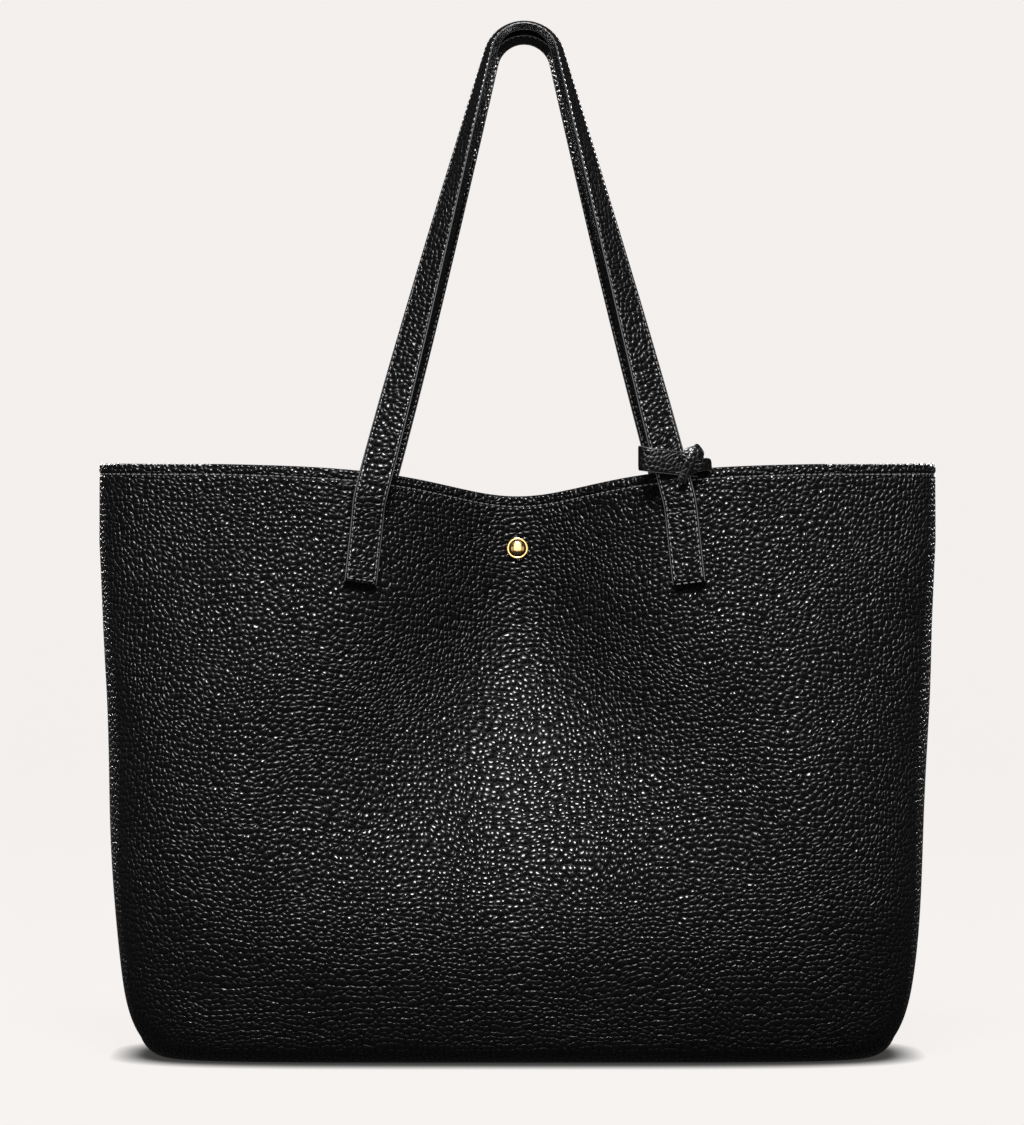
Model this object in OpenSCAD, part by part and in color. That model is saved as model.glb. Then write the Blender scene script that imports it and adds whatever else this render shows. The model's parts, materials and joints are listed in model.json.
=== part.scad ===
// Open-top leather tote bag with two shoulder straps.
// Frame: millimetres, +Z up, X across the width, the front faces -Y, origin under the middle of the base.
// Every layer of the bag's wall is an inward offset of one outer surface, which wall_depth() describes.

/* [Body] */
// Width of the mouth from side seam to side seam
mouth_w = 443; // [360:1:520]
// Height of the rim at the side seams
body_h = 312; // [250:1:380]
// How much narrower the side profile is just above the base than at the rim, per side
side_taper = 13.5; // [4:0.5:24]
// Extra tuck of the walls where they turn into the base round
foot_tuck = 10; // [4:0.5:14]
// Depth of the body from front to back just above the base
base_d = 128; // [90:1:160]
// Depth of the mouth from front to back at its widest
mouth_d = 104; // [70:1:140]
// How far the filled front bulges beyond a straight wall
belly = 14; // [4:0.5:24]
// Radius of the round between the walls and the base
base_round = 16; // [10:0.5:20]

/* [Mouth] */
// Distance of the panel's outer face from the side seam plane where the snap holds it
nip = 6; // [5.6:0.1:9]
// Half width of the fold that the snap pulls into the wall, at the rim
nip_w = 57; // [40:1:70]
// Drop of the rim at the middle
rim_dip = 18.7; // [8:0.1:26]
// Half width of the drop of the rim
rim_dip_w = 54; // [35:1:75]
// Height of the facing strip inside the rim
facing_h = 19; // [12:0.5:20]

/* [Leather] */
// Thickness of the wall leather
leather_t = 1.6; // [1.2:0.1:2]
// Thickness of the lining cloth
lining_t = 0.8; // [0.5:0.1:1]
// Thickness of the rim facing
facing_t = 1.2; // [0.8:0.1:1.4]
// Thickness of a reinforcement patch
patch_t = 0.5; // [0.4:0.1:0.8]
// Free space between neighbouring layers
layer_gap = 0.25; // [0.15:0.05:0.4]
// Gap between the front and the back wall at a side seam
seam_gap = 0.4; // [0.3:0.05:0.8]

/* [Base] */
// Thickness of the stiff board between the base leather and the base lining
board_t = 2.5; // [1.5:0.1:4]
// Gap between the wall's turned-under edge and the base pieces
base_gap = 0.4; // [0.3:0.05:0.8]

/* [Straps] */
// Width of a strap
strap_w = 17.4; // [12:0.1:24]
// Thickness of the core between the two plies of a strap
core_t = 1.4; // [0.8:0.1:2]
// Thickness of one leather ply of a strap
ply_t = 1.2; // [0.8:0.1:1.5]
// Half the distance between the two legs where the sewn ends begin
leg_spread = 81.7; // [65:0.1:100]
// How much wider apart the legs are at the bottom of their sewn ends, per side
end_splay = 4; // [0:0.1:8]
// Sideways offset of the pair of straps from the middle of the bag
strap_shift = 3.5; // [-6:0.1:6]
// Drop from the rim at the side seams down to the top of the sewn ends
end_drop = 24; // [16:0.5:40]
// Height of a sewn end
end_h = 39; // [25:0.5:50]
// Rise of a strap from the top of its sewn ends to its middle line at the top
strap_rise = 254; // [180:1:320]
// Radius of the bend at the top of a strap
top_bend = 18; // [12:0.5:26]
// Twist of a strap from its sewn ends to its top, in degrees
strap_twist = 80; // [60:1:85]
// Gap between a strap and the panel in front of which it rises
strap_gap = 0.6; // [0.3:0.05:1]

/* [Snap] */
// Diameter of the domed cap
cap_d = 11.7; // [9:0.1:14]
// Height of the cap's dome
cap_h = 3.2; // [2:0.1:4.5]
// Depth of the snap's centre below the rim at the side seams
snap_drop = 44.5; // [42:0.5:52]
// Diameter of the post that holds a cap to the piece behind the panel
post_d = 3; // [2:0.1:4]
// Diameter of the stud's head
stud_d = 3.8; // [3:0.1:5]
// Diameter of the socket and of the stud's plate
socket_d = 10; // [8:0.1:11]
// Free space round the post and round the stud
snap_gap = 0.4; // [0.3:0.05:0.6]

/* [Tie] */
// Width of the leather strip tied round the right leg of the front strap
tie_h = 12; // [8:0.1:14]
// Thickness of the strip
tie_t = 1.4; // [1:0.1:1.8]
// Free width left inside the loop beside the strap
tie_slack = 9; // [7:0.1:14]
// Inside depth of the loop
tie_depth = 10; // [9:0.1:12]
// Size of the knot across, front to back and up
knot = [10.5, 12, 12]; // [8:0.5:18]
// Length of the tail that hangs from the knot
tail_l = 18; // [12:0.5:20]

/* [Hidden] */
$fn = 48;

// Grid of the wall: columns across, rows up the wall, rows round the base edge.
wall_cols = 44;
wall_rows = 13;
round_rows = 4;
slope_step = 0.5;

leather = [0.09, 0.09, 0.095];
leather_back = [0.16, 0.14, 0.13];
cloth = [0.36, 0.33, 0.3];
gold = [0.85, 0.68, 0.32];
steel = [0.7, 0.7, 0.72];
board = [0.55, 0.5, 0.42];

half_mouth = mouth_w / 2;
// The wall leans out by this angle where it leaves the base round.
round_lean = 20;
round_top = base_round * (1 - sin(round_lean));
round_inset = base_round * cos(round_lean);
tuck_h = base_round;
snap_z = body_h - snap_drop;
snap_y = nip + seam_gap / 2;
nip_low = 0.16 * body_h;
nip_full = snap_z - cap_d / 2 - 12;
// Room for a flat patch against the gently curved inside of the wall.
patch_gap = 0.35;
lining_off = leather_t + patch_t + 2 * patch_gap;
// Glue line between the core and each ply.
glue_t = 0.15;
strap_t = core_t + 2 * ply_t + 2 * glue_t;
end_top = body_h - end_drop;
hinge_gap = 1.5;

function mix(a, b, t) = a + (b - a) * t;
function clamp01(t) = min(1, max(0, t));
function smooth(t) = let (c = clamp01(t)) c * c * (3 - 2 * c);
function unit(v) = v / norm(v);

// Height of the rim above the floor at a distance x from the middle.
function rim_z(x) = body_h - rim_dip / (1 + pow(x / rim_dip_w, 2));

// Half width of the body at height z: a straight taper that tucks in faster near the base.
function half_w(z) =
  half_mouth - side_taper * clamp01(1 - z / (0.87 * body_h)) - foot_tuck * exp((round_top - z) / tuck_h);

// Half depth of the body at height z: base depth to mouth depth, plus the belly, minus the tuck.
function half_d(z) =
  let (t = clamp01((z - round_top) / (body_h - round_top)))
  mix(base_d / 2, mouth_d / 2, t) + belly * pow(sin(180 * pow(t, 0.75)), 2)
  - 0.7 * foot_tuck * exp((round_top - z) / tuck_h);

// Outer face of the front wall: its distance from the side seam plane at x, z.
// A superellipse, boxy at the base and oval at the mouth, with the snap's fold pressed into it.
function wall_depth(x, z) =
  let (
    t = clamp01((z - round_top) / (body_h - round_top)),
    power = mix(4, 2, t),
    across = min(1, abs(x) / half_w(z)),
    full = half_d(z) * pow(max(0, 1 - pow(across, power)), 1 / power),
    fold_w = nip_w * mix(2, 1, smooth((z - nip_low) / (nip_full - nip_low))),
    fold = smooth((z - nip_low) / (nip_full - nip_low)) * exp(-pow(x / fold_w, 2))
  )
  full - fold * (full - nip);

// Outward normal of the front wall at x, z; at a side seam it points straight out sideways.
function wall_normal(x, z) =
  let (h = slope_step, lean = (half_w(z + h) - half_w(z - h)) / (2 * h))
  half_w(z) - abs(x) < 2 * h
    ? unit([sign(x), 0, -lean])
    : unit([
        -(wall_depth(x + h, z) - wall_depth(x - h, z)) / (2 * h), -1,
        -(wall_depth(x, z + h) - wall_depth(x, z - h)) / (2 * h)
      ]);

// A point at depth "off" under the outer face of the front wall.
function on_wall(x, z, off) = [x, -seam_gap / 2 - wall_depth(x, z), z] - off * wall_normal(x, z);

// Columns lie closer together toward the side seams.
function spread(s) = sign(s) * (1 - pow(1 - abs(s), 1.5));

// Wall point for s from -1 to 1 across and v from 0 to 1 up, or v from -1 to 0 round the base edge.
function wall_point(s, v, off) =
  let (low_x = half_w(round_top) * spread(s))
  v < 0
    ? let (
        n = wall_normal(low_x, round_top),
        flat = unit([n[0], n[1], 0]),
        a = mix(round_lean, 90, -v),
        p = [low_x, -seam_gap / 2 - wall_depth(low_x, round_top), round_top],
        centre = p - flat * round_inset + [0, 0, base_round - round_top]
      )
      centre + (base_round - off) * (cos(a) * flat - [0, 0, sin(a)])
    : let (
        top = rim_z(half_mouth * spread(s)),
        z = mix(round_top, top, v)
      )
      on_wall(half_w(z) * spread(s), z, off);

function wall_rows_v(low, top, low_rows, rows) = concat(
  [for (j = [0 : low_rows - 1]) mix(low, 0, j / low_rows)],
  [for (j = [0 : rows]) top * j / rows]
);
function wall_sheet(vs, cols, off) = [for (v = vs) [for (i = [0 : cols]) wall_point(2 * i / cols - 1, v, off)]];

// Closed solid between two grids of points of the same size.
module between(outer, inner) {
  rows = len(outer);
  cols = len(outer[0]);
  n = rows * cols;
  function id(r, c) = r * cols + c;
  points = concat([for (row = outer) each row], [for (row = inner) each row]);
  skins = [
    for (r = [0 : rows - 2]) for (c = [0 : cols - 2])
      each [
        [id(r, c), id(r + 1, c), id(r + 1, c + 1)],
        [id(r, c), id(r + 1, c + 1), id(r, c + 1)],
        [n + id(r, c), n + id(r + 1, c + 1), n + id(r + 1, c)],
        [n + id(r, c), n + id(r, c + 1), n + id(r + 1, c + 1)]
      ]
  ];
  ends = [
    for (c = [0 : cols - 2]) for (r = [0, rows - 1])
      let (a = id(r, c), b = id(r, c + 1))
      each (r == 0 ? [[a, b, n + b], [a, n + b, n + a]] : [[a, n + b, b], [a, n + a, n + b]])
  ];
  sides = [
    for (r = [0 : rows - 2]) for (c = [0, cols - 1])
      let (a = id(r, c), b = id(r + 1, c))
      each (c == 0 ? [[a, n + b, b], [a, n + a, n + b]] : [[a, b, n + b], [a, n + b, n + a]])
  ];
  polyhedron(points, concat(skins, ends, sides));
}

// Front leather wall with the hole for the snap's post and the seat pressed in by its cap.
module wall_leather() {
  vs = wall_rows_v(-1, 1, round_rows, wall_rows);
  difference() {
    between(wall_sheet(vs, wall_cols, 0), wall_sheet(vs, wall_cols, leather_t));
    snap_axis() cylinder(d = post_d + 2 * snap_gap, h = 4 * nip, center = true);
    snap_axis() translate([0, 0, snap_y + layer_gap]) cylinder(d = cap_d + 2 * snap_gap, h = nip);
  }
}

// Moves a part drawn up from z = 0 to the snap's axis, pointing out through the front.
module snap_axis() {
  translate([0, 0, snap_z]) rotate([90, 0, 0]) children();
}

function base_outline(inset) = [
  for (side = [-1, 1]) for (i = [0 : wall_cols])
    let (s = 2 * i / wall_cols - 1, p = wall_point(-side * s, -1, 0))
    let (q = wall_point(-side * s, -0.5, 0), out = unit([q[0] - p[0], q[1] - p[1]]))
    [p[0] - inset * out[0], side * (p[1] - inset * out[1])]
];

module base_plate(low, thick) {
  translate([0, 0, low]) linear_extrude(thick) polygon(base_outline(base_gap));
}

board_z = leather_t + layer_gap;
base_lining_z = board_z + board_t + layer_gap;
// The wall lining begins this far round the base edge, above the base lining.
lining_low = -mix(0, 1, clamp01(
  (asin((base_round - base_lining_z - lining_t - layer_gap) / (base_round - lining_off - lining_t))
  - round_lean) / (90 - round_lean)));

module wall_lining() {
  top = 1 - (facing_h + 1) / (rim_z(0) - round_top);
  vs = wall_rows_v(lining_low, top, 2, wall_rows - 1);
  difference() {
    between(wall_sheet(vs, wall_cols, lining_off), wall_sheet(vs, wall_cols, lining_off + lining_t));
    snap_axis() cylinder(d = post_d + 2 * snap_gap, h = 4 * nip, center = true);
  }
}

module rim_facing() {
  low = 1 - facing_h / (rim_z(0) - round_top);
  vs = [low, (1 + low) / 2, 1];
  between(wall_sheet(vs, wall_cols, lining_off), wall_sheet(vs, wall_cols, lining_off + facing_t));
}

// Strap: its middle line, then its width and its outward direction at a place along it.
bend_z = end_top + strap_rise - top_bend;
foot_to_bend = norm([leg_spread, bend_z - end_top]);
leg_angle = atan(leg_spread / (bend_z - end_top)) - asin(top_bend / foot_to_bend);
leg_l = sqrt(pow(foot_to_bend, 2) - pow(top_bend, 2));
bend_l = top_bend * (90 - leg_angle) * PI / 180;
strap_half = leg_l + bend_l;
foot_x = [for (side = [-1, 1]) strap_shift + side * leg_spread];
top_y = -strap_w / 2 - 0.6;
// The legs stand clear of the wall at every height from the sewn ends to the rim.
function leg_x(side, z) = strap_shift + side * (leg_spread - (z - end_top) * tan(leg_angle));
function foot_y_for(side, z) =
  let (t = (z - end_top) / strap_rise, clear = seam_gap / 2 + wall_depth(leg_x(side, z), z) + 2 * strap_gap + strap_t / 2)
  (-clear - top_y * t) / (1 - t);
foot_y = min([for (side = [-1, 1]) for (k = [0 : 5]) foot_y_for(side, mix(end_top, rim_z(leg_spread), k / 5))]);
// The feet turn with the wall, whose face slopes in toward the snap.
foot_turn = -atan((wall_depth(leg_spread + 1, end_top) - wall_depth(leg_spread - 1, end_top)) / 2);
function strap_turn(d) = mix(foot_turn, strap_twist, pow(strap_rise_at(d), 0.75));

// Middle line for a distance along the strap, negative on the left half and 0 at the top.
function strap_flat(d) =
  let (s = abs(d), a = (s / top_bend) * 180 / PI)
  s < bend_l
    ? [sign(d) * top_bend * sin(a), bend_z + top_bend * cos(a)]
    : [
        sign(d) * (top_bend * cos(leg_angle) + (s - bend_l) * sin(leg_angle)),
        bend_z + top_bend * sin(leg_angle) - (s - bend_l) * cos(leg_angle)
      ];
function strap_rise_at(d) = clamp01((strap_flat(d)[1] - end_top) / strap_rise);
function strap_mid(d) =
  let (p = strap_flat(d)) [strap_shift + p[0], mix(foot_y, top_y, strap_rise_at(d)), p[1]];
function strap_along(d) = unit(strap_mid(d + 0.2) - strap_mid(d - 0.2));
function strap_frame(d) =
  let (
    along = strap_along(d),
    inward = unit([along[2], 0, -along[0]]),
    back = cross(along, inward),
    twist = strap_turn(d)
  )
  [strap_mid(d), cos(twist) * inward - sin(twist) * back, -cos(twist) * back - sin(twist) * inward];

leg_steps = 11;
bend_steps = 6;
strap_stations = concat(
  [for (i = [0 : leg_steps - 1]) -mix(strap_half - hinge_gap, bend_l, i / leg_steps)],
  [for (i = [-bend_steps : bend_steps]) bend_l * i / bend_steps],
  [for (i = [1 : leg_steps]) mix(bend_l, strap_half - hinge_gap, i / leg_steps)]
);

// A ply of the front strap between two distances from its middle, along its outward direction.
module strap_ply(low, high, width) {
  rows = [for (d = strap_stations) strap_frame(d)];
  between(
    [for (f = rows) [for (side = [-1, 1]) f[0] + f[2] * high - f[1] * side * width / 2]],
    [for (f = rows) [for (side = [-1, 1]) f[0] + f[2] * low - f[1] * side * width / 2]]
  );
}
module strap_outer_ply() { strap_ply(core_t / 2 + glue_t, strap_t / 2, strap_w); }
module strap_core_ply() { strap_ply(-core_t / 2, core_t / 2, strap_w - 1.6); }
module strap_inner_ply() { strap_ply(-strap_t / 2, -core_t / 2 - glue_t, strap_w); }

// Place on the wall of a sewn end: u from -1 to 1 across it, w from 0 at its bottom to 1 at its top.
function end_place(side, u, w, width) =
  let (
    tilt = mix(atan(end_splay / end_h), leg_angle, w),
    x = strap_shift + side * mix(leg_spread + end_splay, leg_spread, w),
    z = end_top - end_h * (1 - w)
  )
  [x + u * width / 2 * cos(tilt), z + side * u * width / 2 * sin(tilt)];
module wall_pad(side, low, high, width, length) {
  inset = (1 - length / end_h) / 2;
  grid = [for (w = [0 : 6]) [for (u = [-1 : 0.5 : 1]) end_place(side, u, mix(inset, 1 - inset, w / 6), width)]];
  between(
    [for (row = grid) [for (p = row) on_wall(p[0], p[1], -high)]],
    [for (row = grid) [for (p = row) on_wall(p[0], p[1], -low)]]
  );
}
module sewn_end(side) { wall_pad(side, strap_gap / 2, strap_gap / 2 + strap_t, strap_w, end_h); }
module end_patch(side) {
  wall_pad(side, -leather_t - patch_gap - patch_t, -leather_t - patch_gap, strap_w + 4, end_h - 1);
}

// Snap: cap and post are one turned piece, the socket a turned ring, the stud a turned plate with a pin.
module snap_dome() {
  snap_axis() {
    translate([0, 0, snap_y + 2 * layer_gap]) rotate_extrude() intersection() {
      translate([0, 0]) square([cap_d / 2, cap_h]);
      translate([0, cap_h - (pow(cap_d / 2, 2) + cap_h * cap_h) / (2 * cap_h)])
        circle(r = (pow(cap_d / 2, 2) + cap_h * cap_h) / (2 * cap_h), $fn = 96);
    }
    translate([0, 0, inside_y]) cylinder(d = post_d, h = snap_y + 3 * layer_gap - inside_y);
  }
}
inside_y = snap_y - lining_off - lining_t - layer_gap;
module snap_socket() {
  color(steel) snap_axis() translate([0, 0, layer_gap]) difference() {
    cylinder(d = socket_d, h = inside_y - 2 * layer_gap);
    translate([0, 0, -1]) cylinder(d = stud_d + 2 * snap_gap, h = inside_y);
  }
}
module snap_stud() {
  color(steel) snap_axis() {
    translate([0, 0, -inside_y + layer_gap]) cylinder(d = socket_d, h = 1);
    translate([0, 0, -inside_y + layer_gap]) cylinder(d = stud_d, h = inside_y + 0.2);
  }
}

module rear() { mirror([0, 1, 0]) children(); }

module front_panel() { color(leather) wall_leather(); }
module back_panel() { color(leather) rear() wall_leather(); }
module base_panel() { color(leather) base_plate(0, leather_t); }
module base_board() { color(board) base_plate(board_z, board_t); }
module base_lining() { color(cloth) base_plate(base_lining_z, lining_t); }
module front_lining() { color(cloth) wall_lining(); }
module back_lining() { color(cloth) rear() wall_lining(); }
module front_rim_facing() { color(leather_back) rim_facing(); }
module back_rim_facing() { color(leather_back) rear() rim_facing(); }
module snap_cap() { color(gold) snap_dome(); }
module snap_back_cap() { color(gold) rear() snap_dome(); }
module front_strap_left_end() { color(leather) sewn_end(-1); }
module front_strap_right_end() { color(leather) sewn_end(1); }
module back_strap_left_end() { color(leather) rear() sewn_end(-1); }
module back_strap_right_end() { color(leather) rear() sewn_end(1); }
module front_left_patch() { color(leather_back) end_patch(-1); }
module front_right_patch() { color(leather_back) end_patch(1); }
module back_left_patch() { color(leather_back) rear() end_patch(-1); }
module back_right_patch() { color(leather_back) rear() end_patch(1); }
module front_strap_outer() { color(leather) strap_outer_ply(); }
module front_strap_core() { color(board) strap_core_ply(); }
module front_strap_inner() { color(leather) strap_inner_ply(); }
module back_strap_outer() { color(leather) rear() strap_outer_ply(); }
module back_strap_core() { color(board) rear() strap_core_ply(); }
module back_strap_inner() { color(leather) rear() strap_inner_ply(); }

// Tie: a loop of the strip, level, round the right leg, with its knot outside the leg.
tie_low = rim_z(foot_x[1] + strap_w) + 1.4;
tie_d = strap_half - (tie_low + tie_h / 2 - end_top) / cos(leg_angle);
tie_mid = strap_mid(tie_d);
tie_turn = strap_turn(tie_d - 12);
tie_lean = atan(strap_along(tie_d)[1] / strap_along(tie_d)[2]);
loop_w = strap_w + tie_slack;
loop_r = 3;
module tie_place() {
  translate(tie_mid) rotate([-tie_lean, 0, 0]) rotate([0, 0, tie_turn]) translate([0, 0, -tie_h / 2]) children();
}
module round_box(width, depth, r) {
  square([width - 2 * r, depth], center = true);
  square([width, depth - 2 * r], center = true);
  for (x = [-1, 1], y = [-1, 1]) translate([x * (width / 2 - r), y * (depth / 2 - r)]) circle(r);
}
module tie_band() {
  color(leather) tie_place() linear_extrude(tie_h) difference() {
    round_box(loop_w + 2 * tie_t, tie_depth + 2 * tie_t, loop_r + tie_t);
    round_box(loop_w, tie_depth, loop_r);
  }
}
module tie_knot() {
  color(leather) tie_place() translate([(loop_w + knot[0]) / 2 + tie_t + layer_gap, 0, tie_h / 2])
    intersection() {
      cube(knot, center = true);
      sphere(d = 1.15 * max(knot), $fn = 96);
    }
}
module tie_tail() {
  color(leather) tie_place() translate([loop_w / 2 - 4, -tie_depth / 2 - tie_t - layer_gap, tie_h])
    rotate([90, 0, 0]) rotate([0, 0, -25]) translate([-2.5, -tail_l]) linear_extrude(tie_t) square([5, tail_l]);
}

front_panel();
back_panel();
base_panel();
base_board();
base_lining();
front_lining();
back_lining();
front_rim_facing();
back_rim_facing();
snap_cap();
snap_socket();
snap_stud();
snap_back_cap();
front_strap_left_end();
front_strap_right_end();
back_strap_left_end();
back_strap_right_end();
front_left_patch();
front_right_patch();
back_left_patch();
back_right_patch();
front_strap_outer();
front_strap_core();
front_strap_inner();
back_strap_outer();
back_strap_core();
back_strap_inner();
tie_band();
tie_knot();
tie_tail();
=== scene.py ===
import json

import bpy
import numpy as np
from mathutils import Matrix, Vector

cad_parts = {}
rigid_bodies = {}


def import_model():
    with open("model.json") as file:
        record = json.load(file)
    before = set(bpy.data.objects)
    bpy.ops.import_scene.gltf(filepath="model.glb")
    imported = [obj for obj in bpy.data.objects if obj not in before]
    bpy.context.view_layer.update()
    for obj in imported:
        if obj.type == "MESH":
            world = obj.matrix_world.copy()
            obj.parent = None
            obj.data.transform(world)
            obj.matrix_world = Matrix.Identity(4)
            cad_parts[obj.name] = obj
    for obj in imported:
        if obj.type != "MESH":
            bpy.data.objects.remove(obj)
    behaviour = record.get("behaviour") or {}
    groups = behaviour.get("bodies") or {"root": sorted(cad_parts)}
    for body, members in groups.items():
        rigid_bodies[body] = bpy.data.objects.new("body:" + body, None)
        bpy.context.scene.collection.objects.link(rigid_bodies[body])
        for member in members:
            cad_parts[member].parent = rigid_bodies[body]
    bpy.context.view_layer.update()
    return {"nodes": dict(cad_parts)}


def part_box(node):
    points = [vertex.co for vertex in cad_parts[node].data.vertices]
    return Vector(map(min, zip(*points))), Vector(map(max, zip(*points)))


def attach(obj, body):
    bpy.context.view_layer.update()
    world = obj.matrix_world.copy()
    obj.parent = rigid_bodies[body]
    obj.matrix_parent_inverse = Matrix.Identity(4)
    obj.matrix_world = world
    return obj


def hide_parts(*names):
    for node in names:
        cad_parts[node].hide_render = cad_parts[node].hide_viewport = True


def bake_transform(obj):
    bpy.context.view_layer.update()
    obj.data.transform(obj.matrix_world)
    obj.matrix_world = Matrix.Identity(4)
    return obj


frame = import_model()


# ---------------------------------------------------------------------------------------------
# Studio: the bag stands in a pale paper bowl, lit by a high soft box in front and by three behind
# it, for its back and sides. The camera is level, a little over two metres in front of it.
# ---------------------------------------------------------------------------------------------
eye_distance = 2.2
eye_height = 0.26
eye_side = -0.0029
lens_mm = 132.8
paper_white = (0.905, 0.878, 0.862)

scene = bpy.context.scene
scene.view_settings.view_transform = "Standard"

camera_data = bpy.data.cameras.new("camera")
camera_data.lens = lens_mm
camera_data.sensor_width = 36
camera_data.clip_end = 50
camera = bpy.data.objects.new("camera", camera_data)
camera.location = (eye_side, -eye_distance, eye_height)
camera.rotation_euler = (np.pi / 2, 0, 0)
scene.collection.objects.link(camera)
scene.camera = camera


def add_node(tree, kind, at=(0, 0), **settings):
    """Adds a shader node of a kind, with its settings, at a place in the tree."""
    node = tree.nodes.new(kind)
    node.location = at
    for name, value in settings.items():
        setattr(node, name, value)
    return node


def soft_box(name, at, aim, width, height, power, tint=(1, 1, 1)):
    """A rectangular lamp at a place, turned so that it shines toward the point aim."""
    lamp = bpy.data.lights.new(name, "AREA")
    lamp.shape = "RECTANGLE"
    lamp.size, lamp.size_y = width, height
    lamp.energy = power
    lamp.color = tint
    holder = bpy.data.objects.new(name, lamp)
    holder.location = at
    holder.rotation_euler = (Vector(aim) - Vector(at)).to_track_quat("-Z", "Y").to_euler()
    scene.collection.objects.link(holder)
    return holder


middle = (0, 0, 0.2)
ambient = 0.03
soft_box("key_light", (-0.05, -1.35, 2.35), middle, 1.0, 0.75, 105)
# The front of the bag is shaped by the key light alone. These three light what it can't reach, and
# they leave out the pieces that are handed to key_lit.
front_faces = bpy.data.collections.new("front_faces")
for lamp in (soft_box("back_light", (0.05, 1.45, 2.35), middle, 1.0, 0.75, 60),
             soft_box("left_light", (-1.4, 2.4, 1.5), middle, 1.0, 0.8, 95),
             soft_box("right_light", (1.4, 2.4, 1.5), middle, 1.0, 0.8, 95)):
    lamp.light_linking.receiver_collection = front_faces


def key_lit(piece):
    """Leaves a piece to the key light: the back and side lights pass it by."""
    front_faces.objects.link(piece)
    front_faces.collection_objects[len(front_faces.objects) - 1].light_linking.link_state = "EXCLUDE"


world = bpy.data.worlds.new("studio")
scene.world = world
world.use_nodes = True
sky = world.node_tree.nodes["Background"]
sky.inputs["Color"].default_value = (*paper_white, 1)
sky.inputs["Strength"].default_value = ambient


def paper_bowl():
    """Round floor that curves up on all sides: a flat disc, a quarter circle and an upright wall,
    carried round the middle."""
    reach, bend, around = 3.6, 1.4, 96
    turn = np.linspace(0, np.pi / 2, 20)
    out = np.concatenate([[0.6], reach + bend * np.sin(turn), [reach + bend]])
    up = np.concatenate([[0.0], bend - bend * np.cos(turn), [7.0]])
    angle = np.arange(around) * 2 * np.pi / around
    points = np.stack(np.broadcast_arrays(out[:, None] * np.cos(angle), out[:, None] * np.sin(angle),
                                          up[:, None]), -1).reshape(-1, 3)
    index = np.arange(len(points)).reshape(-1, around)
    after = np.roll(index, -1, 1)
    faces = np.stack([index[:-1], index[1:], after[1:], after[:-1]], -1).reshape(-1, 4).tolist()
    mesh = bpy.data.meshes.new("paper")
    mesh.from_pydata(points.tolist(), [], faces + [list(range(around))])
    mesh.polygons.foreach_set("use_smooth", [True] * len(mesh.polygons))
    return bpy.data.objects.new("paper", mesh)


paper = paper_bowl()
scene.collection.objects.link(paper)
paper.visible_glossy = False
key_lit(paper)
paper_finish = bpy.data.materials.new("paper")
paper_finish.use_nodes = True
tree = paper_finish.node_tree
tree.nodes.clear()
out = add_node(tree, "ShaderNodeOutputMaterial", (800, 0))
matt = add_node(tree, "ShaderNodeBsdfDiffuse", (200, -100))
matt.inputs["Color"].default_value = (0.03, 0.03, 0.03, 1)
glow_with_painted_shadow = add_node(tree, "ShaderNodeEmission", (200, 100))
glow_with_painted_shadow.inputs["Color"].default_value = (*paper_white, 1)
# Painted contact shadow: an ambient occlusion node dims the paper's emission where the bag stands close
# over it, so the thin dark line under the bag is painted into the paper, not cast by a lamp.
near = add_node(tree, "ShaderNodeAmbientOcclusion", (-400, 200))
near.inputs["Distance"].default_value = 0.02
power = add_node(tree, "ShaderNodeMapRange", (-100, 200))
power.inputs["From Min"].default_value = 0.4
power.inputs["To Min"].default_value = 0.05
power.inputs["To Max"].default_value = 0.96
both = add_node(tree, "ShaderNodeAddShader", (500, 0))
tree.links.new(near.outputs["AO"], power.inputs["Value"])
tree.links.new(power.outputs[0], glow_with_painted_shadow.inputs["Strength"])
tree.links.new(glow_with_painted_shadow.outputs[0], both.inputs[0])
tree.links.new(matt.outputs[0], both.inputs[1])
tree.links.new(both.outputs[0], out.inputs["Surface"])
paper.data.materials.append(paper_finish)


# ---------------------------------------------------------------------------------------------
# Wall: one skin of soft pebbled leather, cut as a front and a back that meet at the side seams.
# It turns under at the base, and at the mouth it is folded over and stitched down inside.
# ---------------------------------------------------------------------------------------------
MM = 0.001
panel_low, panel_high = (np.array(corner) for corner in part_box("front_panel"))
half_mouth = (panel_high[0] - panel_low[0]) / 2
corner_z = panel_high[2]
snap_z = (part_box("snap_cap")[0][2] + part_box("snap_cap")[1][2]) / 2
cap_r = (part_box("snap_cap")[1][2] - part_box("snap_cap")[0][2]) / 2
side_taper = 13.5 * MM
foot_tuck = 10 * MM
base_d = 128 * MM
mouth_d = 104 * MM
belly = 14 * MM
base_round = 16 * MM
round_lean = np.radians(20)
round_top = base_round * (1 - np.sin(round_lean))
round_inset = base_round * np.cos(round_lean)
nip = 6 * MM
nip_w = 57 * MM
rim_dip = 18.7 * MM
rim_dip_w = 54 * MM
body_h = corner_z + rim_dip / (1 + (half_mouth / rim_dip_w) ** 2)
taper_end = 0.87 * body_h
nip_low = 0.16 * body_h
nip_high = snap_z - cap_r - 12 * MM
fold_spread = 2.4
fold_end = 115 * MM
fold_fade = 40 * MM
skin_t = 1.3 * MM
fold_r = 1.7 * MM
facing_h = 19 * MM
stitch_in = 4.1 * MM
side_cut = 36 * MM


def blend_in(t):
    """Smooth step: 0 up to t = 0, 1 from t = 1."""
    t = np.clip(t, 0, 1)
    return t * t * (3 - 2 * t)


def rim_height(x):
    """Height of the rim: level at the corners, with a bell-shaped dip at the middle."""
    return body_h - rim_dip / (1 + (x / rim_dip_w) ** 2)


def half_width(z):
    """Half width at height z: a straight taper that tucks in faster just above the base."""
    taper = side_taper * np.clip(1 - z / taper_end, 0, 1)
    return half_mouth - taper - foot_tuck * np.exp((round_top - z) / base_round)


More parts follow.
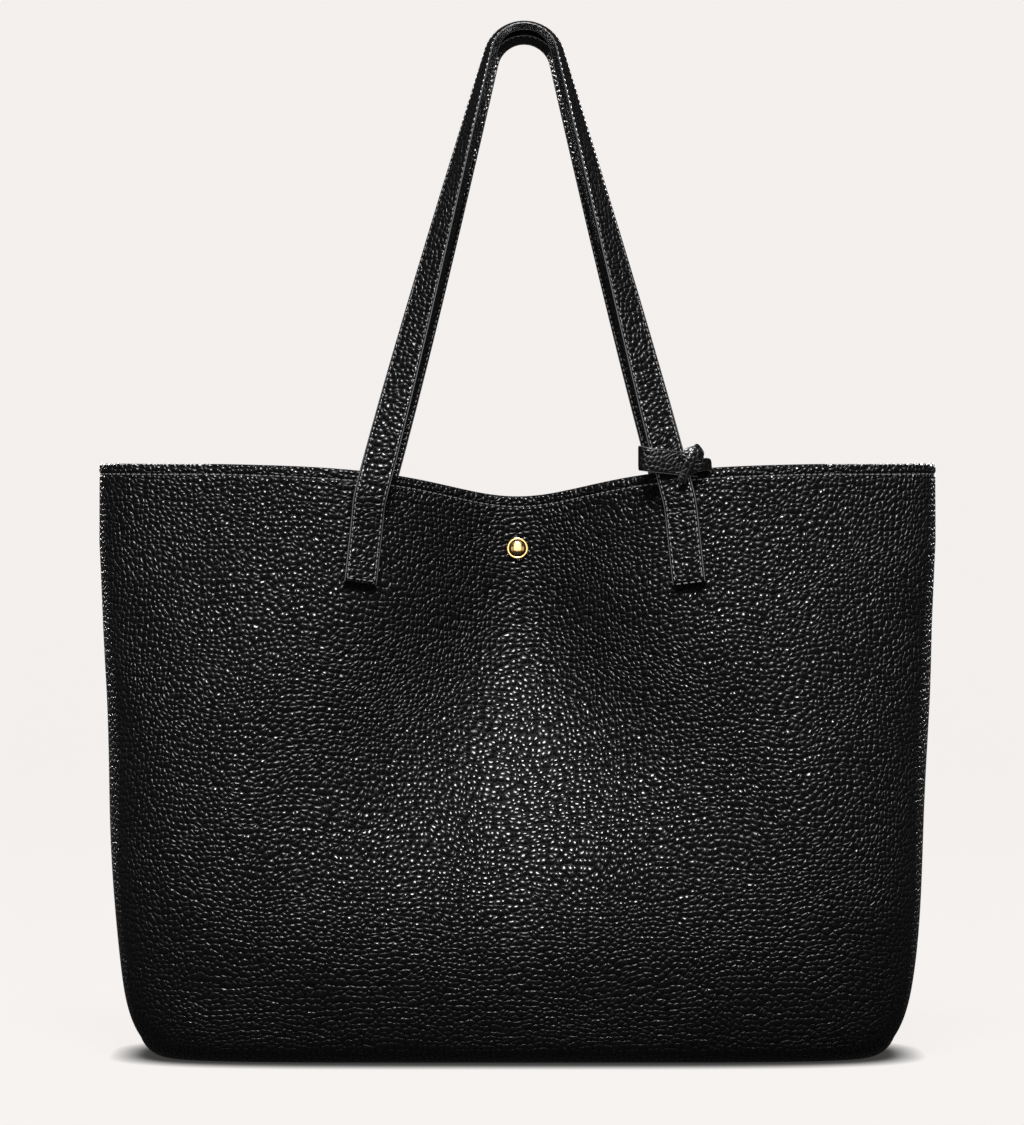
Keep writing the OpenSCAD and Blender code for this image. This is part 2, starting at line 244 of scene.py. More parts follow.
def half_depth(z):
    """Half depth at height z: from base depth to mouth depth, plus a belly, minus the tuck."""
    t = np.clip((z - round_top) / (body_h - round_top), 0, 1)
    straight = base_d / 2 + (mouth_d - base_d) / 2 * t
    return (straight + belly * np.sin(np.pi * t ** 0.75) ** 2
            - 0.7 * foot_tuck * np.exp((round_top - z) / base_round))


def box_power(z):
    """Power of the superellipse at height z: 4, boxy, at the base down to 2, oval, at the mouth."""
    return 4 - 2 * np.clip((z - round_top) / (body_h - round_top), 0, 1)


def wall_depth(x, z):
    """Distance of the outer face from the side seam plane: a superellipse in plan, with the fold
    that the snap pulls in subtracted: a bell across, which fades and widens going down."""
    p = box_power(z)
    across = np.minimum(1, np.abs(x) / half_width(z))
    full = half_depth(z) * (1 - across ** p) ** (1 / p)
    t = blend_in((z - nip_low) / (nip_high - nip_low))
    fold_w = nip_w * (fold_spread - (fold_spread - 1) * t)
    bell = np.exp(-(x / fold_w) ** 2) * (1 - blend_in((np.abs(x) - fold_end) / fold_fade))
    return full - t * bell * (full - nip)


core_cols, side_cols = 150, 22
round_rows = 10
first_turn = np.radians(87)
corner_reach = 1.06


def wall_ring(v):
    """One closed row of points round the bag, v = 0 at the base round and 1 at the rim. It starts at
    the left seam and runs along the front. Between the two cuts x is evenly spread; outside them
    the depth is, and x follows from the superellipse."""
    reach = half_mouth * np.sin(np.linspace(-np.pi / 2, np.pi / 2, core_cols + 1) * 0.5) / np.sin(np.pi / 4)
    x_cut = half_mouth * (1 - (side_cut / half_depth(body_h)) ** 2) ** 0.5
    z_core = round_top + v * (rim_height(x_cut * reach / half_mouth) - round_top)
    p = box_power(z_core)
    edge = half_width(z_core) * (1 - (side_cut / half_depth(z_core)) ** p) ** (1 / p)
    x_core = edge * reach / half_mouth
    core = np.stack([x_core, -wall_depth(x_core, z_core), z_core], -1)
    depth = side_cut * np.sin(np.linspace(0, np.pi / 2, side_cols + 1))[:-1]
    z_side = round_top + v * (rim_height(half_mouth) - round_top) + 0 * depth
    z_side = z_side + (z_core[..., :1] - z_side) * blend_in(depth / side_cut)
    p = box_power(z_side)
    x_side = half_width(z_side) * (1 - (depth / half_depth(z_side)) ** p) ** (1 / p)
    left = np.stack([-x_side, -depth + 0 * x_side, z_side], -1)
    right = left[..., ::-1, :] * (-1, 1, 1)
    front = np.concatenate([left, core, right], -2)
    back = front[..., ::-1, :] * (1, -1, 1)
    return np.concatenate([front, back[..., 1:-1, :]], -2)


def ring_normals(rows):
    """Outward normals of a grid of closed rows: the cross product of the step along a row and the
    step up the rows."""
    along = np.roll(rows, -1, 1) - np.roll(rows, 1, 1)
    up = np.gradient(rows, axis=0)
    cross = np.cross(along, up)
    return cross / np.linalg.norm(cross, axis=-1, keepdims=True)


def base_round_rows(first):
    """Rows that turn the wall under the bag: an arc from each point of the first row to an outline
    drawn in by the inset, both scaled from the middle so that the corners don't cross over."""
    half = np.abs(first).max(0)
    level = first * [1 / half[0], 1 / half[1], 0]
    level *= np.minimum(1, corner_reach / np.linalg.norm(level, axis=-1, keepdims=True))
    centre = first - round_inset * level + np.array([0, 0, base_round - round_top])
    turn = np.linspace(first_turn, round_lean, round_rows + 1)[:-1, None, None]
    return centre + base_round * (np.cos(turn) * level - np.sin(turn) * np.array([0, 0, 1]))


# Distances below the rim of the rows of the wall, in millimetres: close at the stitched edge.
below = np.concatenate([np.arange(0, 8, 0.5), np.arange(8, 16, 1), np.arange(16, 302, 2.6)]) * MM
below = np.append(below[below < corner_z - round_top - 1.5 * MM], corner_z - round_top)[::-1]
v_rows = 1 - below / (corner_z - round_top)
wall_rows = np.stack([wall_ring(v) for v in v_rows])
skin_rows = np.concatenate([base_round_rows(wall_rows[0]), wall_rows])
skin_normals = ring_normals(skin_rows)
skin_normals[0] = (0, 0, -1)
down = np.concatenate([np.full(round_rows, corner_z), below])


def rim_rows(rows, normals):
    """The folded edge: a half circle over the top, then the wall's own rows again, going down on the
    inside at the width of the fold. Returns points, outward normals and the distance below the rim."""
    top, out = rows[-1], normals[-1]
    up = rows[-1] - rows[-2]
    up /= np.linalg.norm(up, axis=-1, keepdims=True)
    turn = np.linspace(0, np.pi, 9)[1:-1, None, None]
    roll_n = np.cos(turn) * out + np.sin(turn) * up
    roll = top - fold_r * out + fold_r * roll_n
    inside = np.flatnonzero(down <= facing_h)[::-1]
    facing = rows[inside] - 2 * fold_r * normals[inside]
    return (np.concatenate([roll, facing]), np.concatenate([roll_n, -normals[inside]]),
            np.concatenate([np.zeros(7), down[inside]]))


def press(points, normals, below_rim):
    """The row of topstitching pulls a groove into the leather, and the edge beyond it swells."""
    groove = -0.5 * MM * np.exp(-((below_rim - stitch_in) / (0.8 * MM)) ** 2)
    swell = 0.25 * MM * np.exp(-((below_rim - 1.9 * MM) / (1.3 * MM)) ** 2)
    return points + normals * (groove + swell)[:, None, None]


def slack(points, normals):
    """Soft leather is never quite even: three long shallow waves in different directions."""
    x, z = points[..., 0], points[..., 2]
    wave = (np.sin(31 * x + 17 * z + 0.4) * np.sin(13 * x - 24 * z + 1.1)
            + 0.6 * np.sin(47 * x - 29 * z + 2.3) + 0.5 * np.sin(19 * x + 52 * z))
    fade = blend_in(z / (60 * MM)) * blend_in((corner_z - 65 * MM - z) / (60 * MM))
    return points + normals * (0.45 * MM * wave * fade)[..., None]


fold_rows, fold_normals, fold_down = rim_rows(skin_rows, skin_normals)
skin_rows = slack(skin_rows, skin_normals)
skin_rows = np.concatenate([press(skin_rows, skin_normals, down),
                            press(fold_rows, fold_normals, fold_down)])
skin_normals = np.concatenate([skin_normals, fold_normals])
half_ring = core_cols + 2 * side_cols + 1


def mesh_piece(name, points, quads, uv=None, finish=None, sharp=40):
    """Makes an object from vertices and four-sided faces, turned to face out by the sign of the
    enclosed volume; uv holds one pair of metres per vertex."""
    a, b, c, d = (points[quads[:, k]] for k in range(4))
    if np.sum(a * np.cross(b, c) + a * np.cross(c, d)) < 0:
        quads = quads[:, ::-1]
    mesh = bpy.data.meshes.new(name)
    mesh.vertices.add(len(points))
    mesh.vertices.foreach_set("co", np.asarray(points, np.float32).ravel())
    mesh.loops.add(4 * len(quads))
    mesh.loops.foreach_set("vertex_index", np.asarray(quads, np.int32).ravel())
    mesh.polygons.add(len(quads))
    mesh.polygons.foreach_set("loop_start", np.arange(0, 4 * len(quads), 4, dtype=np.int32))
    mesh.update(calc_edges=True)
    mesh.validate()
    if uv is not None:
        layer = mesh.uv_layers.new(name="metres")
        layer.data.foreach_set("uv", np.asarray(uv, np.float32)[np.asarray(quads).ravel()].ravel())
    mesh.polygons.foreach_set("use_smooth", np.ones(len(mesh.polygons), bool))
    mesh.set_sharp_from_angle(angle=np.radians(sharp))
    if finish:
        mesh.materials.append(finish)
    piece = bpy.data.objects.new(name, mesh)
    scene.collection.objects.link(piece)
    return piece


def slab(outer, inner, u, v):
    """Closed sheet between two grids of points of one size: both skins and the four edges. Returns
    vertices, quads and the u, v of each vertex."""
    rows, cols = outer.shape[:2]
    index = np.arange(rows * cols).reshape(rows, cols)
    quad = np.stack([index[:-1, :-1], index[:-1, 1:], index[1:, 1:], index[1:, :-1]], -1).reshape(-1, 4)
    n = rows * cols
    rim = np.concatenate([index[0], index[1:, -1], index[-1, -2::-1], index[-2:0:-1, 0]])
    after = np.roll(rim, -1)
    edge = np.stack([rim, rim + n, after + n, after], -1)
    quads = np.concatenate([quad, quad[:, ::-1] + n, edge])
    points = np.concatenate([outer.reshape(-1, 3), inner.reshape(-1, 3)])
    uv = np.stack([np.broadcast_to(u, (rows, cols)), np.broadcast_to(v, (rows, cols))], -1).reshape(-1, 2)
    return points, quads, np.concatenate([uv, uv])


def joined(parts):
    """Several vertex, quad and uv sets as one."""
    points, quads, uvs, n = [], [], [], 0
    for part_points, part_quads, part_uv in parts:
        points.append(part_points)
        quads.append(part_quads + n)
        uvs.append(part_uv)
        n += len(part_points)
    return np.concatenate(points), np.concatenate(quads), np.concatenate(uvs)


def wall_pieces(rows, normals, thick, row_v):
    """Cuts closed rows into a front, a back and two sides, as slabs of a thickness. u is the length
    along a row from the middle of the front or of the back, so that the grain breaks at the seams."""
    ring = np.concatenate([rows, rows[:, :1]], 1)
    ring_n = np.concatenate([normals, normals[:, :1]], 1)
    step = np.linalg.norm(np.diff(ring, axis=1), axis=-1)
    length = np.concatenate([np.zeros((len(rows), 1)), np.cumsum(step, 1)], 1)
    cuts = {}
    for side, start in (("front", 0), ("back", half_ring - 1)):
        mid = start + half_ring // 2
        u = length - length[:, mid:mid + 1]
        for part, a, b in (("first", 0, side_cols), ("core", side_cols, half_ring - 1 - side_cols),
                           ("last", half_ring - 1 - side_cols, half_ring - 1)):
            span = slice(start + a, start + b + 1)
            outer = ring[:, span]
            cuts[side, part] = slab(outer, outer - thick * ring_n[:, span], u[:, span], row_v[:, None])
    return {"front": cuts["front", "core"], "back": cuts["back", "core"],
            "left": joined([cuts["back", "last"], cuts["front", "first"]]),
            "right": joined([cuts["front", "last"], cuts["back", "first"]])}


def path_length(rows):
    """Mean distance of each row from the first, along the columns."""
    return np.concatenate([[0], np.cumsum(np.linalg.norm(np.diff(rows, axis=0), axis=-1).mean(1))])


def cut_size(piece, halves):
    """Width, length and area of the flat cut: the span of |u| times the number of halves, the span
    of v, and half the area of the faces in metres, because a slab has a face on either side."""
    uv = np.empty(2 * len(piece.data.loops), np.float32)
    piece.data.uv_layers["metres"].data.foreach_get("uv", uv)
    u, v = uv.reshape(-1, 2).T
    corner = uv.reshape(-1, 4, 2)
    first, second = corner[:, 2] - corner[:, 0], corner[:, 3] - corner[:, 1]
    area = np.abs(first[:, 0] * second[:, 1] - first[:, 1] * second[:, 0]).sum() / 2
    return (float(np.ptp(np.abs(u) if halves == 2 else u) * halves), float(np.ptp(v))), float(area / 2)


def declare_cut(where, piece):
    """Works out a piece's flat size and area as a sheet; nothing further is done with them. A side's
    two halves meet at the side seam, on either side of u = 0.
    """
    flat, area = cut_size(piece, 2 if where in ("left", "right") else 1)


def maths(tree, at, operation, *terms):
    """A maths node's result. Its terms are sockets, which are linked, or numbers, which are set."""
    node = add_node(tree, "ShaderNodeMath", at, operation=operation)
    for socket, term in zip(node.inputs, terms):
        if isinstance(term, bpy.types.NodeSocket):
            tree.links.new(term, socket)
        else:
            socket.default_value = term
    return node.outputs[0]


def pebble_group():
    """Grain of embossed leather: domed pebbles in irregular cells with creases between them.
    Puts out the height, a crease mask, 0 in a crease, and a tone that differs from pebble to pebble."""
    group = bpy.data.node_groups.new("pebble_grain", "ShaderNodeTree")
    face = group.interface
    face.new_socket("Vector", in_out="INPUT", socket_type="NodeSocketVector")
    face.new_socket("Pebbles per metre", in_out="INPUT", socket_type="NodeSocketFloat").default_value = 270
    for name in ("Height", "Crease", "Tone"):
        face.new_socket(name, in_out="OUTPUT", socket_type="NodeSocketFloat")
    start = add_node(group, "NodeGroupInput", (-1600, 0))
    end = add_node(group, "NodeGroupOutput", (900, 0))
    link = group.links.new
    moved = start.outputs["Vector"]
    # Two drifts: a wide one that stretches the pebbles by area, and a close one that breaks their rows.
    for k, (scale, reach) in enumerate(((18, 0.010), (150, 0.0018))):
        drift = add_node(group, "ShaderNodeTexNoise", (-1400 + 500 * k, -200), noise_dimensions="2D")
        drift.inputs["Scale"].default_value = scale
        drift.inputs["Detail"].default_value = 1
        centre = add_node(group, "ShaderNodeVectorMath", (-1240 + 500 * k, -200), operation="SUBTRACT")
        centre.inputs[1].default_value = (0.5, 0.5, 0.5)
        shift = add_node(group, "ShaderNodeVectorMath", (-1080 + 500 * k, -200), operation="SCALE")
        shift.inputs["Scale"].default_value = reach
        add = add_node(group, "ShaderNodeVectorMath", (-920 + 500 * k, 0), operation="ADD")
        link(start.outputs["Vector"], drift.inputs["Vector"])
        link(drift.outputs["Color"], centre.inputs[0])
        link(centre.outputs[0], shift.inputs[0])
        link(moved, add.inputs[0])
        link(shift.outputs[0], add.inputs[1])
        moved = add.outputs[0]
    edge = add_node(group, "ShaderNodeTexVoronoi", (-260, 200), voronoi_dimensions="2D",
                    feature="DISTANCE_TO_EDGE")
    cell = add_node(group, "ShaderNodeTexVoronoi", (-260, -100), voronoi_dimensions="2D", feature="F1")
    for voronoi in (edge, cell):
        voronoi.inputs["Randomness"].default_value = 0.8
        link(moved, voronoi.inputs["Vector"])
        link(start.outputs["Pebbles per metre"], voronoi.inputs["Scale"])
    crease = add_node(group, "ShaderNodeMapRange", (-20, 300), interpolation_type="SMOOTHSTEP")
    crease.inputs["From Max"].default_value = 0.2
    link(edge.outputs["Distance"], crease.inputs["Value"])
    # The height falls by the square of the distance from the pebble's centre, and into the creases.
    away = cell.outputs["Distance"]
    dome = maths(group, (-20, 0), "MULTIPLY", away, away)
    valley = maths(group, (160, 200), "MULTIPLY", crease.outputs[0], 0.16)
    top = maths(group, (320, 0), "MULTIPLY_ADD", dome, -1.3, valley)
    fine = add_node(group, "ShaderNodeTexNoise", (160, -220), noise_dimensions="2D")
    fine.inputs["Scale"].default_value = 1300
    fine.inputs["Detail"].default_value = 2
    link(start.outputs["Vector"], fine.inputs["Vector"])
    height = maths(group, (480, -160), "MULTIPLY_ADD", fine.outputs["Fac"], 0.03, top)
    link(height, end.inputs["Height"])
    link(crease.outputs[0], end.inputs["Crease"])
    link(cell.outputs["Color"], end.inputs["Tone"])
    return group


pebbles = pebble_group()
# The crease tone is painted shade: darker than the pebbles to stand in for the shadow that falls into the
# creases.
crease_shade_black = (0.0006, 0.0006, 0.0006, 1)
pebble_black = (0.0022, 0.0022, 0.0024, 1)
# The edge grey is a painted highlight: a lighter tone along the corners of the cut edges, standing in for
# the thin line of light the edges catch.
edge_highlight_grey = (0.09, 0.09, 0.092, 1)


def material_coords(tree, from_uv):
    """The place on the surface: the piece's own UV map in metres, or Object coordinates on a CAD node."""
    if from_uv:
        return add_node(tree, "ShaderNodeUVMap", (-1300, 0), uv_map="metres").outputs[0]
    return add_node(tree, "ShaderNodeTexCoord", (-1300, 0)).outputs["Object"]


def new_finish(name):
    """A procedural material to be filled in: the material, its node tree and its surface shader."""
    finish = bpy.data.materials.new(name)
    finish.use_nodes = True
    return finish, finish.node_tree, finish.node_tree.nodes["Principled BSDF"]


def two_tones(tree, shader, factor, dark, light, relief=0):
    """Colours a surface between two tones by a factor, and raises it in step with the factor."""
    tone = add_node(tree, "ShaderNodeMix", (-400, 150), data_type="RGBA")
    tone.inputs["A"].default_value = (*dark, 1)
    tone.inputs["B"].default_value = (*light, 1)
    tree.links.new(factor, tone.inputs["Factor"])
    tree.links.new(tone.outputs["Result"], shader.inputs["Base Color"])
    if relief:
        bump = add_node(tree, "ShaderNodeBump", (-400, -200))
        bump.inputs["Distance"].default_value = relief
        tree.links.new(factor, bump.inputs["Height"])
        tree.links.new(bump.outputs[0], shader.inputs["Normal"])


def pebbled_leather(name, per_metre, relief, from_uv=True, paint=False):
    """Black pebbled leather: creases duller than the pebbles' tops, and darker by painted shade that
    stands in for the shadow in them. With paint, a mask on the mesh turns the cut edges into smooth,
    glossier edge paint, and near 1, at the edges' corners, lightens them to a painted highlight line."""
    finish, tree, shader = new_finish(name)
    link = tree.links.new
    grain = add_node(tree, "ShaderNodeGroup", (-1080, 0), node_tree=pebbles)
    grain.inputs["Pebbles per metre"].default_value = per_metre
    link(material_coords(tree, from_uv), grain.inputs["Vector"])
    # Painted shade: the crease mask darkens the base tone in the creases, in place of their shadow.
    crease_shaded_colour = add_node(tree, "ShaderNodeMix", (-800, 200), data_type="RGBA")
    crease_shaded_colour.inputs["A"].default_value = crease_shade_black
    crease_shaded_colour.inputs["B"].default_value = pebble_black
    link(grain.outputs["Crease"], crease_shaded_colour.inputs["Factor"])
    link(crease_shaded_colour.outputs["Result"], shader.inputs["Base Color"])
    gloss = add_node(tree, "ShaderNodeMapRange", (-800, -60))
    gloss.inputs["To Min"].default_value = 0.55  # in a crease
    gloss.inputs["To Max"].default_value = 0.15  # on a pebble
    link(grain.outputs["Crease"], gloss.inputs["Value"])
    rough = maths(tree, (-600, -60), "MULTIPLY_ADD", grain.outputs["Tone"], 0.14, gloss.outputs[0])
    height = grain.outputs["Height"]
    if paint:
        mask = add_node(tree, "ShaderNodeAttribute", (-1080, -400), attribute_name="edge_paint_and_highlight")
        smooth = add_node(tree, "ShaderNodeMix", (-400, -60))
        smooth.inputs["B"].default_value = 0.22
        flat = add_node(tree, "ShaderNodeMix", (-600, -320))
        flat.inputs["B"].default_value = 0.1
        for node, value in ((smooth, rough), (flat, height)):
            link(mask.outputs["Fac"], node.inputs["Factor"])
            link(value, node.inputs["A"])
        rough, height = smooth.outputs["Result"], flat.outputs["Result"]
        # Painted highlight: where the mask is near 1, at the corners of the edges, the base tone is mixed
        # toward a light grey line, in place of light caught on the edge.
        edge = add_node(tree, "ShaderNodeMapRange", (-1080, 500), interpolation_type="SMOOTHSTEP")
        edge.inputs["From Min"].default_value = 0.86
        highlight_line_mix = add_node(tree, "ShaderNodeMix", (-400, 200), data_type="RGBA")
        highlight_line_mix.inputs["B"].default_value = edge_highlight_grey
        link(mask.outputs["Fac"], edge.inputs["Value"])
        link(edge.outputs[0], highlight_line_mix.inputs["Factor"])
        link(crease_shaded_colour.outputs["Result"], highlight_line_mix.inputs["A"])
        link(highlight_line_mix.outputs["Result"], shader.inputs["Base Color"])
    link(rough, shader.inputs["Roughness"])
    bump = add_node(tree, "ShaderNodeBump", (-400, -320))
    bump.inputs["Strength"].default_value = 1
    bump.inputs["Distance"].default_value = relief
    link(height, bump.inputs["Height"])
    link(bump.outputs[0], shader.inputs["Normal"])
    return finish


wall_leather = pebbled_leather("pebbled leather", 345, 1.0 * MM)
row_v = path_length(skin_rows)
wall = {where: mesh_piece(f"{where}_leather", *mesh, finish=wall_leather)
        for where, mesh in wall_pieces(skin_rows, skin_normals, skin_t, row_v).items()}
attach(wall["front"], "front_wall")
key_lit(wall["front"])
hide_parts("front_panel", "front_rim_facing")
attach(wall["back"], "bag_body")
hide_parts("back_panel", "back_rim_facing")
for side in ("left", "right"):
    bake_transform(wall[side])
for where, piece in wall.items():
    declare_cut(where, piece)


# ---------------------------------------------------------------------------------------------
# Base: a leather plate that the turned-in walls are glued to, with a stiff board over it and
# the lining's bottom on the board.
# ---------------------------------------------------------------------------------------------
def paint_node(node, finish):
    """Gives a CAD node one material."""
    slots = frame["nodes"][node].data.materials
    slots.clear()
    slots.append(finish)


def fibre_board():
    """Grey-brown pressed fibre: fine speckle and soft blotches, quite rough."""
    finish, tree, shader = new_finish("fibre board")
    speckle = add_node(tree, "ShaderNodeTexNoise", (-700, 0))
    speckle.inputs["Scale"].default_value = 900
    speckle.inputs["Detail"].default_value = 4
    tree.links.new(material_coords(tree, False), speckle.inputs["Vector"])
    two_tones(tree, shader, speckle.outputs["Fac"], (0.06, 0.05, 0.04), (0.18, 0.15, 0.12), 0.15 * MM)
    shader.inputs["Roughness"].default_value = 0.85
    return finish


plate_leather = pebbled_leather("plate leather", 345, 1.0 * MM, from_uv=False)
board = fibre_board()
paint_node("base_panel", plate_leather)
paint_node("base_board", board)


# ---------------------------------------------------------------------------------------------
# Rim stitching: one row of black thread round the mouth holds the folded edge down. It lies in
# its groove on the outside, and shows again on the facing inside.
# ---------------------------------------------------------------------------------------------
thread_r = 0.34 * MM
rim_pitch = 3.2 * MM
rod_sides = 6


def even_path(path, step):
    """Points at even steps along a path, whose first three columns are places; the directions there
    are the differences of the points."""
    gap = np.linalg.norm(np.diff(path[:, :3], axis=0), axis=-1)
    run = np.concatenate([[0], np.cumsum(gap)])
    count = int(run[-1] / step)
    at = (np.arange(count) + 0.5) * run[-1] / count
    points = np.stack([np.interp(at, run, path[:, k]) for k in range(path.shape[1])], -1)
    along = np.gradient(points[:, :3], axis=0)
    return points, along / np.linalg.norm(along, axis=-1, keepdims=True)


def tube_quads(rings, sides):
    """Four-sided faces of a tube of rings of points. Each end is closed with faces that run across
    it between opposite points."""
    index = np.arange(rings * sides).reshape(rings, sides)
    after = np.roll(index, -1, 1)
    round_it = np.stack([index[:-1], after[:-1], after[1:], index[1:]], -1).reshape(-1, 4)
    k = np.arange(sides // 2 - 1)
    first = np.stack([k, sides - 1 - k, sides - 2 - k, k + 1], -1)
    return np.concatenate([round_it, first, first[:, ::-1] + (rings - 1) * sides])


def stitch_rods(centre, along, out, length, radius):
    """Each stitch is a six-sided rod of four rings, thin at its ends, which dip into the leather by
    the square of the distance from its middle."""
    place = np.array([-0.5, -0.3, 0.3, 0.5])[:, None]
    girth = np.array([0.55, 1, 1, 0.55])[:, None] * radius
    turn = np.arange(rod_sides) * 2 * np.pi / rod_sides
    dip = 0.9 * radius * (2 * place) ** 2
    rod = np.stack([place * length + 0 * turn, girth * np.cos(turn), girth * np.sin(turn) - dip], -1)
    side = np.cross(out, along)
    side /= np.linalg.norm(side, axis=-1, keepdims=True)
    axes = np.stack([along, side, np.cross(along, side)], 1)
    points = centre[:, None] + np.einsum("ka,nab->nkb", rod.reshape(-1, 3), axes)
    quads = tube_quads(len(place), rod_sides)
    quads = (quads + len(place) * rod_sides * np.arange(len(centre))[:, None, None]).reshape(-1, 4)
    uv = np.stack([place * length + 0 * turn, radius * turn + 0 * place], -1).reshape(-1, 2)
    return points.reshape(-1, 3), quads, np.tile(uv, (len(centre), 1))


def waxed_thread():
    """Black waxed thread: a twist of slanting strands across the stitch."""
    finish, tree, shader = new_finish("waxed thread")
    strand = add_node(tree, "ShaderNodeTexWave", (-700, 0), bands_direction="DIAGONAL")
    strand.inputs["Scale"].default_value = 420
    strand.inputs["Distortion"].default_value = 1.5
    tree.links.new(material_coords(tree, True), strand.inputs["Vector"])
    two_tones(tree, shader, strand.outputs["Fac"], (0.08, 0.08, 0.08), (0.22, 0.22, 0.22), 0.1 * MM)
    shader.inputs["Roughness"].default_value = 0.3
    return finish


thread = waxed_thread()
stitch_row = np.argmin(np.abs(down - stitch_in))
facing_row = len(down) + np.argmin(np.abs(fold_down - stitch_in))
rim_sets = []
for row in (stitch_row, facing_row):
    path = np.concatenate([skin_rows[row] + 0.1 * MM * skin_normals[row], skin_normals[row]], -1)
    at, along = even_path(np.concatenate([path, path[:1]]), rim_pitch)
    rim_sets.append((at[:, :3], along, at[:, 3:]))
for where in ("front", "back", "left", "right"):
    rods = []
    for centre, along, out in rim_sets:
        inside = {"front": centre[:, 1] < -side_cut, "back": centre[:, 1] > side_cut,
                  "left": (np.abs(centre[:, 1]) <= side_cut) & (centre[:, 0] < 0),
                  "right": (np.abs(centre[:, 1]) <= side_cut) & (centre[:, 0] > 0)}[where]
        rods.append(stitch_rods(centre[inside], along[inside], out[inside], 0.78 * rim_pitch, thread_r))
    row = mesh_piece(f"{where}_rim_stitches", *joined(rods), finish=thread)
    if where in ("left", "right"):
        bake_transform(row)
    else:
        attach(row, {"front": "front_wall", "back": "bag_body"}[where])


# ---------------------------------------------------------------------------------------------
# Lining: black twill that hangs loose inside the walls and is caught under the facing. It is cut
# like the wall, as a front, a back and two sides, and its bottom lies on the board.
# ---------------------------------------------------------------------------------------------
cloth_off = 2.55 * MM
cloth_t = 0.55 * MM


def lining_cloth(name, from_uv):
    """Twill: slanting ribs half a millimetre apart, crossed by finer threads, with a little fuzz."""
    finish, tree, shader = new_finish(name)
    where = material_coords(tree, from_uv)
    rib = add_node(tree, "ShaderNodeTexWave", (-900, 100), bands_direction="DIAGONAL")
    rib.inputs["Scale"].default_value = 260
    rib.inputs["Distortion"].default_value = 0.6
    cross = add_node(tree, "ShaderNodeTexWave", (-900, -200), bands_direction="Y")
    cross.inputs["Scale"].default_value = 420
    tree.links.new(where, rib.inputs["Vector"])
    tree.links.new(where, cross.inputs["Vector"])
    height = maths(tree, (-650, -50), "MULTIPLY_ADD", cross.outputs["Fac"], 0.4, rib.outputs["Fac"])
    two_tones(tree, shader, height, (0.003, 0.003, 0.0035), (0.014, 0.0135, 0.014), 0.12 * MM)
    shader.inputs["Roughness"].default_value = 0.8
    shader.inputs["Sheen Weight"].default_value = 0.25
    return finish


def loose(points, normals):
    """Cloth hangs away from the wall in soft upright folds: a product of waves across and a slower
    wave down, that fades at the top, at the bottom and where the walls come close."""
    x, y, z = np.moveaxis(points, -1, 0)
    folds = 0.5 + 0.5 * np.sin(90 * x + 2.2 * np.sin(21 * z) + 25 * y)
    wave = folds * (0.6 + 0.4 * np.sin(37 * x + 30 * z))
    fade = blend_in((z - 12 * MM) / (50 * MM)) * blend_in((corner_z - 30 * MM - z) / (70 * MM))
    room = blend_in((np.abs(y) - 12 * MM) / (20 * MM)) + (np.abs(x) > 0.5 * half_mouth)
    return points - normals * (2.2 * MM * wave * fade * np.minimum(1, room))[..., None]


cloth_high = np.flatnonzero(down >= facing_h - 3 * MM)[-1] + 1
cloth_rows = skin_rows[1:cloth_high] - cloth_off * skin_normals[1:cloth_high]
cloth_rows = loose(cloth_rows, skin_normals[1:cloth_high])
wall_cloth = lining_cloth("lining twill", True)
lining = {where: mesh_piece(f"{where}_lining_cloth", *mesh, finish=wall_cloth)
          for where, mesh in wall_pieces(cloth_rows, skin_normals[1:cloth_high], cloth_t,
                                         path_length(cloth_rows)).items()}
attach(lining["front"], "front_wall")
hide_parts("front_lining")
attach(lining["back"], "bag_body")
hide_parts("back_lining")
for side in ("left", "right"):
    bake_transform(lining[side])
for where, piece in lining.items():
    declare_cut(where, piece)
paint_node("base_lining", lining_cloth("bottom twill", False))


# ---------------------------------------------------------------------------------------------
# Snap: a domed brass-coloured cap with a rolled rim, riveted through the wall to a socket, and the
# same cap on the back wall riveted to the stud. Turned parts, polished and plated.
# ---------------------------------------------------------------------------------------------
cap_seat = 6.7 * MM
cap_h = 3.2 * MM
post_r = 1.5 * MM
post_l = 3.9 * MM
dome_r = 4.25 * MM
dome_rise = 2 * MM
roll_r = 5 * MM


def cap_profile():
    """Radius and height of the cap: an elliptical dome, a groove, a rolled rim that is a quarter
    thicker than it is high, and a flat back that runs in to the post."""
    a = np.linspace(0.02, np.pi / 2, 16)
    dome = dome_r * np.sin(a), cap_h - dome_rise + dome_rise * np.cos(a)
    b = np.linspace(0.25, np.pi * 1.12, 16)
    roll = roll_r - 0.84 * MM * np.cos(b), 0.55 * MM + 0.72 * MM * np.sin(b)
    back = (np.array([roll_r + 0.3 * MM, post_r, post_r, post_r * 0.7]),
            np.array([0, 0, -post_l, -post_l - 0.4 * MM]))
    return tuple(np.concatenate(places) for places in zip(dome, roll, back))


def turned(radius, height, around):
    """A profile carried round its axis, as rings of points."""
    turn = np.arange(around) * 2 * np.pi / around
    rings = np.stack([radius[:, None] * np.cos(turn), -height[:, None] + 0 * turn,
                      radius[:, None] * np.sin(turn)], -1)
    return rings.reshape(-1, 3), tube_quads(len(radius), around)


